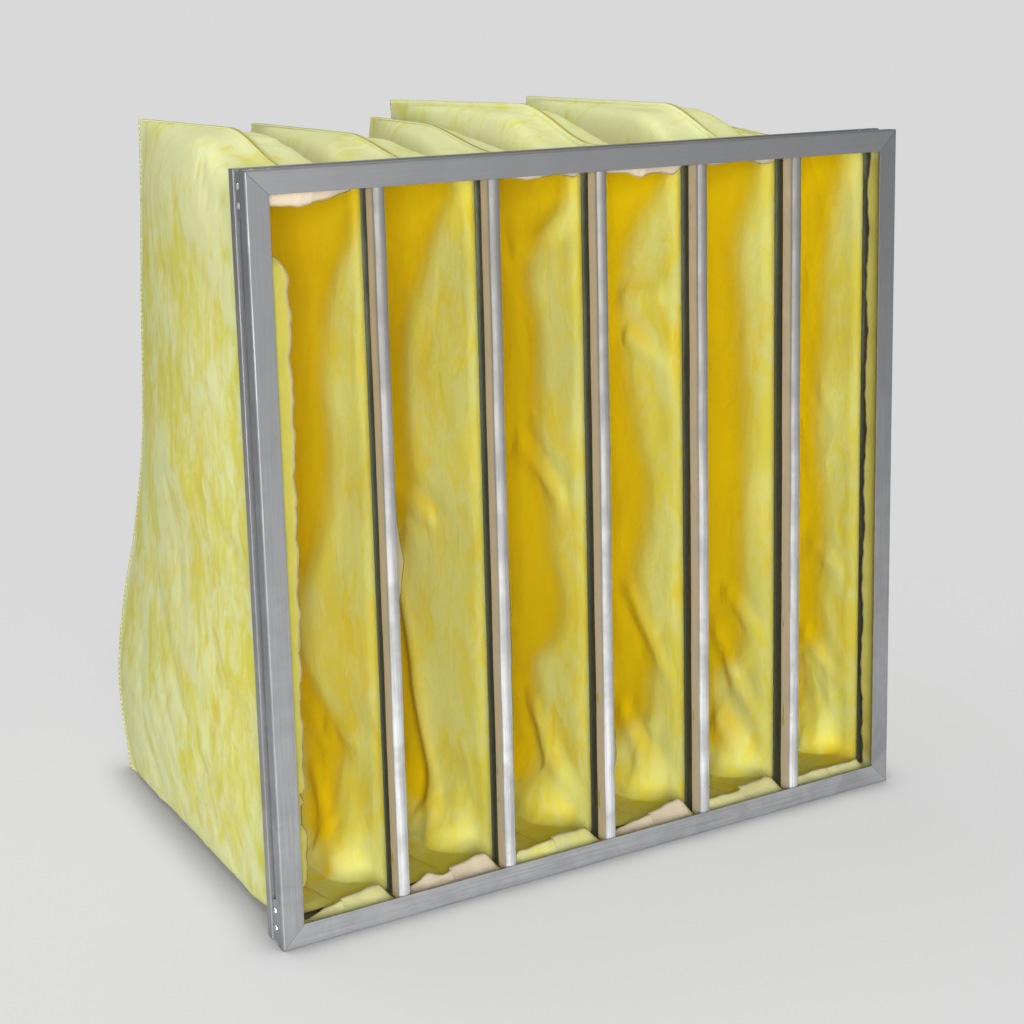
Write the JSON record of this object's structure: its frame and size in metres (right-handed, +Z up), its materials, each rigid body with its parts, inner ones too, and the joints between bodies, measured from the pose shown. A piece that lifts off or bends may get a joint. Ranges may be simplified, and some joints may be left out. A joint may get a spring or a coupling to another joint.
{
  "type": "bag air filter",
  "caption": "Air filter with a square metal header frame that holds a row of long sewn fibre-media pockets, open at the front and closed at the back.",
  "frame": {"origin": "centre of the filter's footprint, on the floor that the header stands on", "axes": "the header faces -Y and the pockets run back along +Y; +Z is up; +X is to the right, seen from the front"},
  "size_m": [0.592, 0.4684, 0.6199],
  "materials": {
    "header_metal": "satin, drawn along the rails",
    "rivet_metal": "bright, slightly worn",
    "galvanised_strip": "dull galvanised",
    "clip_metal": "satin, with a slight warm cast",
    "filter_media": "soft fibre fleece, mottled"
  },
  "bodies": {
    "root": {"header_rail_left": "header_metal", "header_rail_top": "header_metal", "header_rail_right": "header_metal", "header_rail_bottom": "header_metal", "corner_bracket_top_left": "header_metal", "corner_bracket_top_right": "header_metal", "corner_bracket_bottom_right": "header_metal", "corner_bracket_bottom_left": "header_metal", "rivet_left_a1": "rivet_metal", "rivet_left_a2": "rivet_metal", "rivet_left_b1": "rivet_metal", "rivet_left_b2": "rivet_metal", "rivet_top_a1": "rivet_metal", "rivet_top_a2": "rivet_metal", "rivet_top_b1": "rivet_metal", "rivet_top_b2": "rivet_metal", "rivet_right_a1": "rivet_metal", "rivet_right_a2": "rivet_metal", "rivet_right_b1": "rivet_metal", "rivet_right_b2": "rivet_metal", "rivet_bottom_a1": "rivet_metal", "rivet_bottom_a2": "rivet_metal", "rivet_bottom_b1": "rivet_metal", "rivet_bottom_b2": "rivet_metal", "mouth_ring_1": "galvanised_strip", "mouth_ring_2": "galvanised_strip", "mouth_ring_3": "galvanised_strip", "mouth_ring_4": "galvanised_strip", "mouth_ring_5": "galvanised_strip", "mouth_ring_6": "galvanised_strip", "divider_clip_1": "clip_metal", "divider_clip_2": "clip_metal", "divider_clip_3": "clip_metal", "divider_clip_4": "clip_metal", "divider_clip_5": "clip_metal", "pocket_1_left_panel": "filter_media", "pocket_1_right_panel": "filter_media", "pocket_2_left_panel": "filter_media", "pocket_2_right_panel": "filter_media", "pocket_3_left_panel": "filter_media", "pocket_3_right_panel": "filter_media", "pocket_4_left_panel": "filter_media", "pocket_4_right_panel": "filter_media", "pocket_5_left_panel": "filter_media", "pocket_5_right_panel": "filter_media", "pocket_6_left_panel": "filter_media", "pocket_6_right_panel": "filter_media"}
  },
  "joints": []
}
